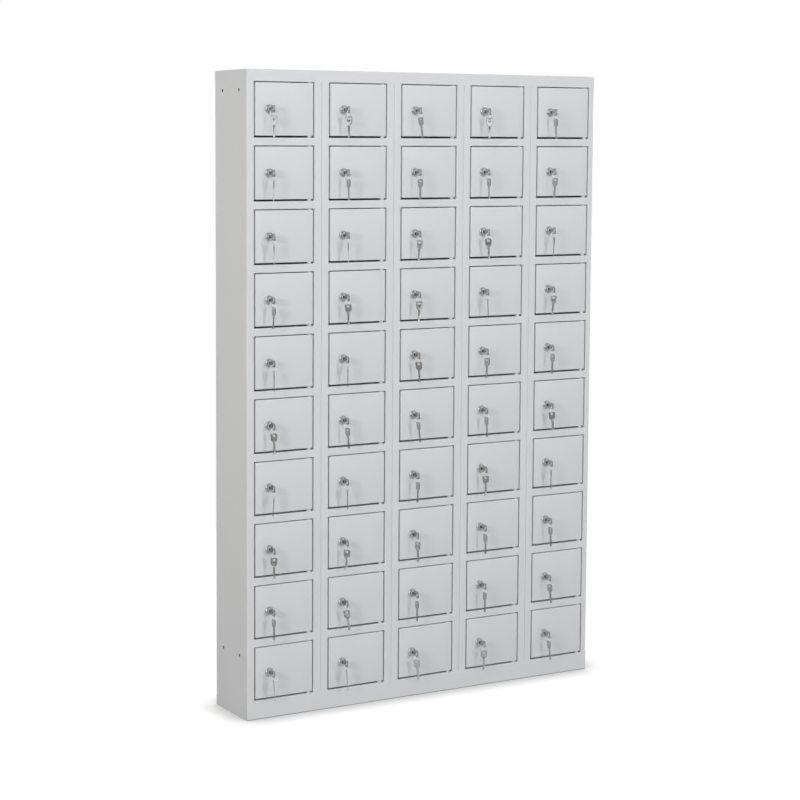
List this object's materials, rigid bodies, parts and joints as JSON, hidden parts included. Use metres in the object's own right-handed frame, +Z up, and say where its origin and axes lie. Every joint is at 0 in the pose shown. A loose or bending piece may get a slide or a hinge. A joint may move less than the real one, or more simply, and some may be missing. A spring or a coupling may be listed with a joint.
{
  "type": "valuables locker",
  "caption": "Tall shallow sheet-steel locker with a grid of small flush hinged doors, each with a cam lock, a key in the lock and a spare key on a ring.",
  "frame": {"origin": "middle of the underside of the carcass", "axes": "+Z up, the doors face -Y, +X from the left column to the right column seen from the front"},
  "size_m": [0.895, 0.18, 1.39],
  "materials": {
    "carcass_paint": "light grey powder coat, semi-matt",
    "door_paint": "light grey powder coat, semi-matt",
    "lock_chrome": "bright chrome plate",
    "key_steel": "nickel plate"
  },
  "bodies": {
    "carcass": {"left_side_panel": "carcass_paint", "right_side_panel": "carcass_paint", "lock_side_walls": "carcass_paint", "hinge_side_walls": "carcass_paint", "shelves": "carcass_paint", "top_panel": "carcass_paint", "base_panel": "carcass_paint", "back_panel": "carcass_paint"},
    "door_r01_c1": {"door_r01_c1": "door_paint"},
    "door_r01_c2": {"door_r01_c2": "door_paint"},
    "door_r01_c3": {"door_r01_c3": "door_paint"},
    "door_r01_c4": {"door_r01_c4": "door_paint"},
    "door_r01_c5": {"door_r01_c5": "door_paint"},
    "door_r02_c1": {"door_r02_c1": "door_paint"},
    "door_r02_c2": {"door_r02_c2": "door_paint"},
    "door_r02_c3": {"door_r02_c3": "door_paint"},
    "door_r02_c4": {"door_r02_c4": "door_paint"},
    "door_r02_c5": {"door_r02_c5": "door_paint"},
    "door_r03_c1": {"door_r03_c1": "door_paint"},
    "door_r03_c2": {"door_r03_c2": "door_paint"},
    "door_r03_c3": {"door_r03_c3": "door_paint"},
    "door_r03_c4": {"door_r03_c4": "door_paint"},
    "door_r03_c5": {"door_r03_c5": "door_paint"},
    "door_r04_c1": {"door_r04_c1": "door_paint"},
    "door_r04_c2": {"door_r04_c2": "door_paint"},
    "door_r04_c3": {"door_r04_c3": "door_paint"},
    "door_r04_c4": {"door_r04_c4": "door_paint"},
    "door_r04_c5": {"door_r04_c5": "door_paint"},
    "door_r05_c1": {"door_r05_c1": "door_paint"},
    "door_r05_c2": {"door_r05_c2": "door_paint"},
    "door_r05_c3": {"door_r05_c3": "door_paint"},
    "door_r05_c4": {"door_r05_c4": "door_paint"},
    "door_r05_c5": {"door_r05_c5": "door_paint"},
    "door_r06_c1": {"door_r06_c1": "door_paint"},
    "door_r06_c2": {"door_r06_c2": "door_paint"},
    "door_r06_c3": {"door_r06_c3": "door_paint"},
    "door_r06_c4": {"door_r06_c4": "door_paint"},
    "door_r06_c5": {"door_r06_c5": "door_paint"},
    "door_r07_c1": {"door_r07_c1": "door_paint"},
    "door_r07_c2": {"door_r07_c2": "door_paint"},
    "door_r07_c3": {"door_r07_c3": "door_paint"},
    "door_r07_c4": {"door_r07_c4": "door_paint"},
    "door_r07_c5": {"door_r07_c5": "door_paint"},
    "door_r08_c1": {"door_r08_c1": "door_paint"},
    "door_r08_c2": {"door_r08_c2": "door_paint"},
    "door_r08_c3": {"door_r08_c3": "door_paint"},
    "door_r08_c4": {"door_r08_c4": "door_paint"},
    "door_r08_c5": {"door_r08_c5": "door_paint"},
    "door_r09_c1": {"door_r09_c1": "door_paint"},
    "door_r09_c2": {"door_r09_c2": "door_paint"},
    "door_r09_c3": {"door_r09_c3": "door_paint"},
    "door_r09_c4": {"door_r09_c4": "door_paint"},
    "door_r09_c5": {"door_r09_c5": "door_paint"},
    "door_r10_c1": {"door_r10_c1": "door_paint"},
    "door_r10_c2": {"door_r10_c2": "door_paint"},
    "door_r10_c3": {"door_r10_c3": "door_paint"},
    "door_r10_c4": {"door_r10_c4": "door_paint"},
    "door_r10_c5": {"door_r10_c5": "door_paint"},
    "lock_core_r01_c1": {"lock_core_r01_c1": "lock_chrome"},
    "spare_key_r01_c1": {"spare_key_r01_c1": "key_steel"}
  },
  "joints": [
    {"name": "door_r01_c1_hinge", "type": "hinge", "parent": "carcass", "child": "door_r01_c1", "pos_m": [-0.2959, -0.07, 1.30605], "axis": [0, 0, 1], "range_deg": [0, 110]},
    {"name": "door_r01_c2_hinge", "type": "hinge", "parent": "carcass", "child": "door_r01_c2", "pos_m": [-0.1159, -0.07, 1.30605], "axis": [0, 0, 1], "range_deg": [0, 110]},
    {"name": "door_r01_c3_hinge", "type": "hinge", "parent": "carcass", "child": "door_r01_c3", "pos_m": [0.0641, -0.07, 1.30605], "axis": [0, 0, 1], "range_deg": [0, 110]},
    {"name": "door_r01_c4_hinge", "type": "hinge", "parent": "carcass", "child": "door_r01_c4", "pos_m": [0.2441, -0.07, 1.30605], "axis": [0, 0, 1], "range_deg": [0, 110]},
    {"name": "door_r01_c5_hinge", "type": "hinge", "parent": "carcass", "child": "door_r01_c5", "pos_m": [0.4241, -0.07, 1.30605], "axis": [0, 0, 1], "range_deg": [0, 110]},
    {"name": "door_r02_c1_hinge", "type": "hinge", "parent": "carcass", "child": "door_r02_c1", "pos_m": [-0.2959, -0.07, 1.17195], "axis": [0, 0, 1], "range_deg": [0, 110]},
    {"name": "door_r02_c2_hinge", "type": "hinge", "parent": "carcass", "child": "door_r02_c2", "pos_m": [-0.1159, -0.07, 1.17195], "axis": [0, 0, 1], "range_deg": [0, 110]},
    {"name": "door_r02_c3_hinge", "type": "hinge", "parent": "carcass", "child": "door_r02_c3", "pos_m": [0.0641, -0.07, 1.17195], "axis": [0, 0, 1], "range_deg": [0, 110]},
    {"name": "door_r02_c4_hinge", "type": "hinge", "parent": "carcass", "child": "door_r02_c4", "pos_m": [0.2441, -0.07, 1.17195], "axis": [0, 0, 1], "range_deg": [0, 110]},
    {"name": "door_r02_c5_hinge", "type": "hinge", "parent": "carcass", "child": "door_r02_c5", "pos_m": [0.4241, -0.07, 1.17195], "axis": [0, 0, 1], "range_deg": [0, 110]},
    {"name": "door_r03_c1_hinge", "type": "hinge", "parent": "carcass", "child": "door_r03_c1", "pos_m": [-0.2959, -0.07, 1.03785], "axis": [0, 0, 1], "range_deg": [0, 110]},
    {"name": "door_r03_c2_hinge", "type": "hinge", "parent": "carcass", "child": "door_r03_c2", "pos_m": [-0.1159, -0.07, 1.03785], "axis": [0, 0, 1], "range_deg": [0, 110]},
    {"name": "door_r03_c3_hinge", "type": "hinge", "parent": "carcass", "child": "door_r03_c3", "pos_m": [0.0641, -0.07, 1.03785], "axis": [0, 0, 1], "range_deg": [0, 110]},
    {"name": "door_r03_c4_hinge", "type": "hinge", "parent": "carcass", "child": "door_r03_c4", "pos_m": [0.2441, -0.07, 1.03785], "axis": [0, 0, 1], "range_deg": [0, 110]},
    {"name": "door_r03_c5_hinge", "type": "hinge", "parent": "carcass", "child": "door_r03_c5", "pos_m": [0.4241, -0.07, 1.03785], "axis": [0, 0, 1], "range_deg": [0, 110]},
    {"name": "door_r04_c1_hinge", "type": "hinge", "parent": "carcass", "child": "door_r04_c1", "pos_m": [-0.2959, -0.07, 0.90375], "axis": [0, 0, 1], "range_deg": [0, 110]},
    {"name": "door_r04_c2_hinge", "type": "hinge", "parent": "carcass", "child": "door_r04_c2", "pos_m": [-0.1159, -0.07, 0.90375], "axis": [0, 0, 1], "range_deg": [0, 110]},
    {"name": "door_r04_c3_hinge", "type": "hinge", "parent": "carcass", "child": "door_r04_c3", "pos_m": [0.0641, -0.07, 0.90375], "axis": [0, 0, 1], "range_deg": [0, 110]},
    {"name": "door_r04_c4_hinge", "type": "hinge", "parent": "carcass", "child": "door_r04_c4", "pos_m": [0.2441, -0.07, 0.90375], "axis": [0, 0, 1], "range_deg": [0, 110]},
    {"name": "door_r04_c5_hinge", "type": "hinge", "parent": "carcass", "child": "door_r04_c5", "pos_m": [0.4241, -0.07, 0.90375], "axis": [0, 0, 1], "range_deg": [0, 110]},
    {"name": "door_r05_c1_hinge", "type": "hinge", "parent": "carcass", "child": "door_r05_c1", "pos_m": [-0.2959, -0.07, 0.76965], "axis": [0, 0, 1], "range_deg": [0, 110]},
    {"name": "door_r05_c2_hinge", "type": "hinge", "parent": "carcass", "child": "door_r05_c2", "pos_m": [-0.1159, -0.07, 0.76965], "axis": [0, 0, 1], "range_deg": [0, 110]},
    {"name": "door_r05_c3_hinge", "type": "hinge", "parent": "carcass", "child": "door_r05_c3", "pos_m": [0.0641, -0.07, 0.76965], "axis": [0, 0, 1], "range_deg": [0, 110]},
    {"name": "door_r05_c4_hinge", "type": "hinge", "parent": "carcass", "child": "door_r05_c4", "pos_m": [0.2441, -0.07, 0.76965], "axis": [0, 0, 1], "range_deg": [0, 110]},
    {"name": "door_r05_c5_hinge", "type": "hinge", "parent": "carcass", "child": "door_r05_c5", "pos_m": [0.4241, -0.07, 0.76965], "axis": [0, 0, 1], "range_deg": [0, 110]},
    {"name": "door_r06_c1_hinge", "type": "hinge", "parent": "carcass", "child": "door_r06_c1", "pos_m": [-0.2959, -0.07, 0.63555], "axis": [0, 0, 1], "range_deg": [0, 110]},
    {"name": "door_r06_c2_hinge", "type": "hinge", "parent": "carcass", "child": "door_r06_c2", "pos_m": [-0.1159, -0.07, 0.63555], "axis": [0, 0, 1], "range_deg": [0, 110]},
    {"name": "door_r06_c3_hinge", "type": "hinge", "parent": "carcass", "child": "door_r06_c3", "pos_m": [0.0641, -0.07, 0.63555], "axis": [0, 0, 1], "range_deg": [0, 110]},
    {"name": "door_r06_c4_hinge", "type": "hinge", "parent": "carcass", "child": "door_r06_c4", "pos_m": [0.2441, -0.07, 0.63555], "axis": [0, 0, 1], "range_deg": [0, 110]},
    {"name": "door_r06_c5_hinge", "type": "hinge", "parent": "carcass", "child": "door_r06_c5", "pos_m": [0.4241, -0.07, 0.63555], "axis": [0, 0, 1], "range_deg": [0, 110]},
    {"name": "door_r07_c1_hinge", "type": "hinge", "parent": "carcass", "child": "door_r07_c1", "pos_m": [-0.2959, -0.07, 0.50145], "axis": [0, 0, 1], "range_deg": [0, 110]},
    {"name": "door_r07_c2_hinge", "type": "hinge", "parent": "carcass", "child": "door_r07_c2", "pos_m": [-0.1159, -0.07, 0.50145], "axis": [0, 0, 1], "range_deg": [0, 110]},
    {"name": "door_r07_c3_hinge", "type": "hinge", "parent": "carcass", "child": "door_r07_c3", "pos_m": [0.0641, -0.07, 0.50145], "axis": [0, 0, 1], "range_deg": [0, 110]},
    {"name": "door_r07_c4_hinge", "type": "hinge", "parent": "carcass", "child": "door_r07_c4", "pos_m": [0.2441, -0.07, 0.50145], "axis": [0, 0, 1], "range_deg": [0, 110]},
    {"name": "door_r07_c5_hinge", "type": "hinge", "parent": "carcass", "child": "door_r07_c5", "pos_m": [0.4241, -0.07, 0.50145], "axis": [0, 0, 1], "range_deg": [0, 110]},
    {"name": "door_r08_c1_hinge", "type": "hinge", "parent": "carcass", "child": "door_r08_c1", "pos_m": [-0.2959, -0.07, 0.36735], "axis": [0, 0, 1], "range_deg": [0, 110]},
    {"name": "door_r08_c2_hinge", "type": "hinge", "parent": "carcass", "child": "door_r08_c2", "pos_m": [-0.1159, -0.07, 0.36735], "axis": [0, 0, 1], "range_deg": [0, 110]},
    {"name": "door_r08_c3_hinge", "type": "hinge", "parent": "carcass", "child": "door_r08_c3", "pos_m": [0.0641, -0.07, 0.36735], "axis": [0, 0, 1], "range_deg": [0, 110]},
    {"name": "door_r08_c4_hinge", "type": "hinge", "parent": "carcass", "child": "door_r08_c4", "pos_m": [0.2441, -0.07, 0.36735], "axis": [0, 0, 1], "range_deg": [0, 110]},
    {"name": "door_r08_c5_hinge", "type": "hinge", "parent": "carcass", "child": "door_r08_c5", "pos_m": [0.4241, -0.07, 0.36735], "axis": [0, 0, 1], "range_deg": [0, 110]},
    {"name": "door_r09_c1_hinge", "type": "hinge", "parent": "carcass", "child": "door_r09_c1", "pos_m": [-0.2959, -0.07, 0.23325], "axis": [0, 0, 1], "range_deg": [0, 110]},
    {"name": "door_r09_c2_hinge", "type": "hinge", "parent": "carcass", "child": "door_r09_c2", "pos_m": [-0.1159, -0.07, 0.23325], "axis": [0, 0, 1], "range_deg": [0, 110]},
    {"name": "door_r09_c3_hinge", "type": "hinge", "parent": "carcass", "child": "door_r09_c3", "pos_m": [0.0641, -0.07, 0.23325], "axis": [0, 0, 1], "range_deg": [0, 110]},
    {"name": "door_r09_c4_hinge", "type": "hinge", "parent": "carcass", "child": "door_r09_c4", "pos_m": [0.2441, -0.07, 0.23325], "axis": [0, 0, 1], "range_deg": [0, 110]},
    {"name": "door_r09_c5_hinge", "type": "hinge", "parent": "carcass", "child": "door_r09_c5", "pos_m": [0.4241, -0.07, 0.23325], "axis": [0, 0, 1], "range_deg": [0, 110]},
    {"name": "door_r10_c1_hinge", "type": "hinge", "parent": "carcass", "child": "door_r10_c1", "pos_m": [-0.2959, -0.07, 0.09915], "axis": [0, 0, 1], "range_deg": [0, 110]},
    {"name": "door_r10_c2_hinge", "type": "hinge", "parent": "carcass", "child": "door_r10_c2", "pos_m": [-0.1159, -0.07, 0.09915], "axis": [0, 0, 1], "range_deg": [0, 110]},
    {"name": "door_r10_c3_hinge", "type": "hinge", "parent": "carcass", "child": "door_r10_c3", "pos_m": [0.0641, -0.07, 0.09915], "axis": [0, 0, 1], "range_deg": [0, 110]},
    {"name": "door_r10_c4_hinge", "type": "hinge", "parent": "carcass", "child": "door_r10_c4", "pos_m": [0.2441, -0.07, 0.09915], "axis": [0, 0, 1], "range_deg": [0, 110]},
    {"name": "door_r10_c5_hinge", "type": "hinge", "parent": "carcass", "child": "door_r10_c5", "pos_m": [0.4241, -0.07, 0.09915], "axis": [0, 0, 1], "range_deg": [0, 110]},
    {"name": "lock_r01_c1_turn", "type": "hinge", "parent": "door_r01_c1", "child": "lock_core_r01_c1", "pos_m": [-0.3941, -0.075, 1.3071], "axis": [0, -1, 0], "range_deg": [0, 90]},
    {"name": "spare_key_r01_c1_hang", "type": "hinge", "parent": "lock_core_r01_c1", "child": "spare_key_r01_c1", "pos_m": [-0.3941, -0.097, 1.29752], "axis": [0, -1, 0], "range_deg": [-90, 0]}
  ],
  "couplings": [
    {"joint": "spare_key_r01_c1_hang", "follows": "lock_r01_c1_turn", "ratio": -1}
  ]
}
